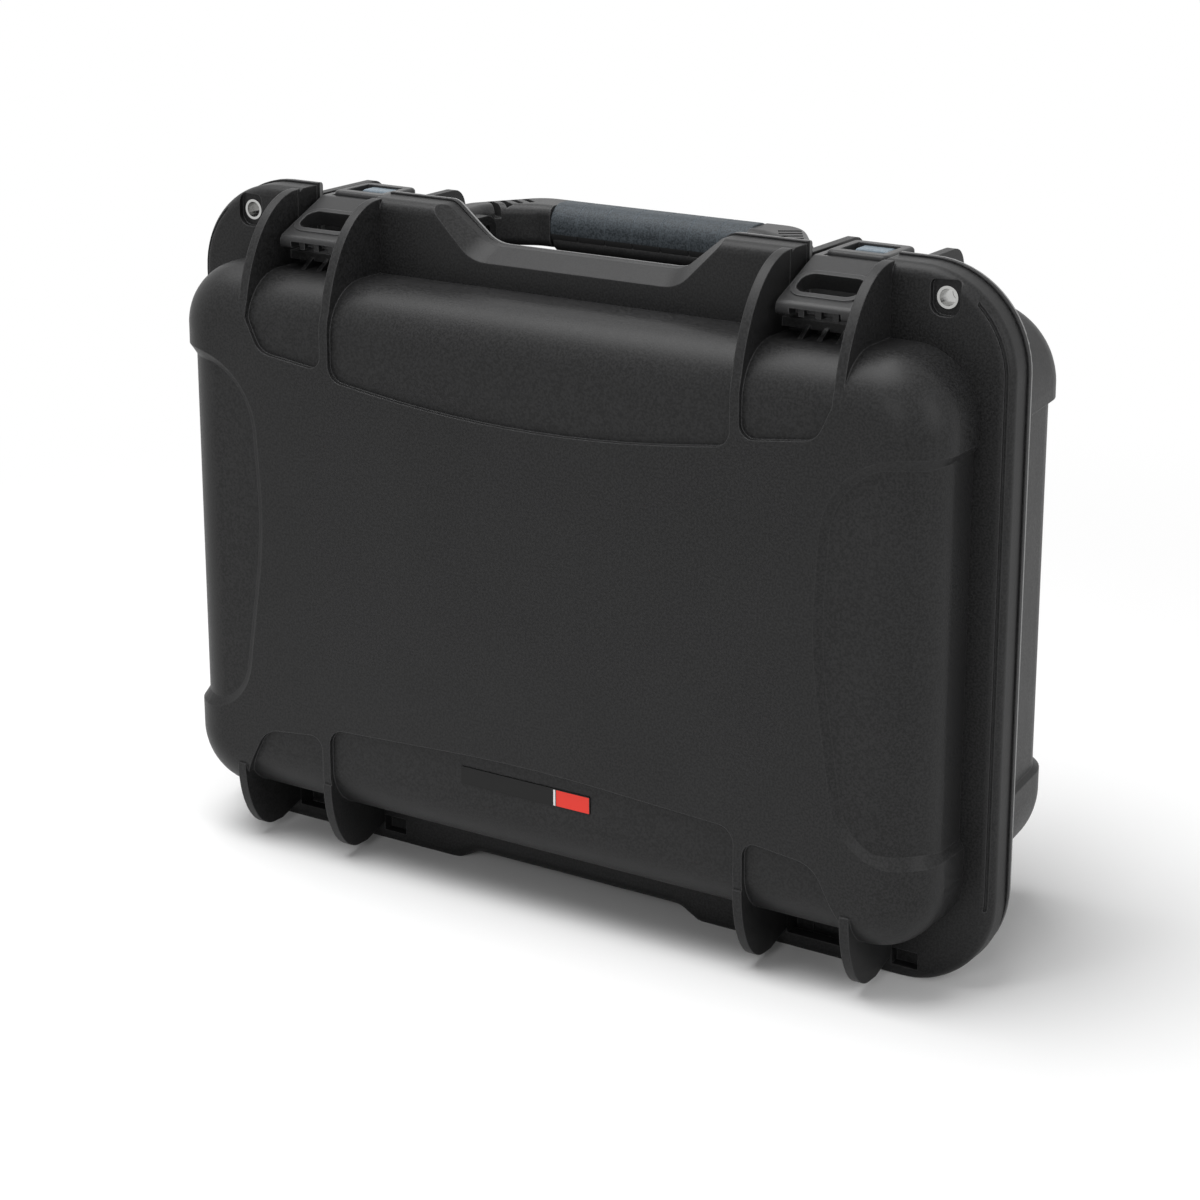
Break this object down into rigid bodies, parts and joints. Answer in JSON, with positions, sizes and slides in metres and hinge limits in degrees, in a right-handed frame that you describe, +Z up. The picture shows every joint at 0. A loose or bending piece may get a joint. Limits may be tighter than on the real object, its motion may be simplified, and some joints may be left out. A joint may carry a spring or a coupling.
{
  "type": "hard case",
  "caption": "Upright moulded hard case with a hinged lid, over-centre latches with slide locks, a folding grip handle, padlock eyelets, a rim seal and a pressure valve.",
  "frame": {"origin": "middle of the outer box in plan, at the ground under the hinge edge", "axes": "+X across the width, -Y out of the lid face, +Z up from the hinge edge to the handle"},
  "size_m": [0.475, 0.178, 0.352],
  "materials": {
    "shell": "fine moulded texture, charcoal black",
    "latch": "smooth moulded, black",
    "handle": "smooth moulded, black",
    "grip": "soft moulded, blue grey",
    "button": "smooth moulded, pale blue grey",
    "steel": "polished",
    "seal": "soft, black",
    "valve": "smooth moulded, black",
    "membrane": "thin breathable film",
    "plate": "printed, black",
    "plate_line": "printed, white",
    "plate_field": "printed, red"
  },
  "bodies": {
    "base": {"base_shell": "shell", "base_rim": "shell", "base_eyelet_left": "steel", "base_eyelet_right": "steel", "handle_pin_left": "steel", "handle_pin_right": "steel", "latch_pin_left": "steel", "latch_pin_right": "steel", "valve_washer": "seal", "valve_body": "valve", "valve_membrane": "membrane", "valve_cap": "valve", "valve_nut": "valve"},
    "lid": {"lid_shell": "shell", "lid_rim": "shell", "lid_seal": "seal", "lid_eyelet_left": "steel", "lid_eyelet_right": "steel", "hinge_pin_left": "steel", "hinge_pin_right": "steel", "name_plate": "plate", "plate_line": "plate_line", "plate_field": "plate_field"},
    "handle": {"handle_frame": "handle", "handle_grip": "grip"},
    "latch_left": {"latch_lever_left": "latch"},
    "latch_right": {"latch_lever_right": "latch"},
    "lock_left": {"lock_slide_left": "latch", "lock_button_left": "button"},
    "lock_right": {"lock_slide_right": "latch", "lock_button_right": "button"}
  },
  "joints": [
    {"name": "lid_hinge", "type": "hinge", "parent": "base", "child": "lid", "pos_m": [0, -0.027, 0.009], "axis": [1, 0, 0], "range_deg": [0, 100]},
    {"name": "handle_fold", "type": "hinge", "parent": "base", "child": "handle", "pos_m": [0, 0, 0.3315], "axis": [1, 0, 0], "range_deg": [0, 95]},
    {"name": "latch_left_swing", "type": "hinge", "parent": "base", "child": "latch_left", "pos_m": [-0.146, 0.018, 0.3355], "axis": [-1, 0, 0], "range_deg": [0, 100]},
    {"name": "latch_right_swing", "type": "hinge", "parent": "base", "child": "latch_right", "pos_m": [0.146, 0.018, 0.3355], "axis": [-1, 0, 0], "range_deg": [0, 100]},
    {"name": "latch_left_lock", "type": "slide", "parent": "latch_left", "child": "lock_left", "axis": [0, 1, 0], "range_m": [0, 0.005]},
    {"name": "latch_right_lock", "type": "slide", "parent": "latch_right", "child": "lock_right", "axis": [0, 1, 0], "range_m": [0, 0.005]}
  ]
}
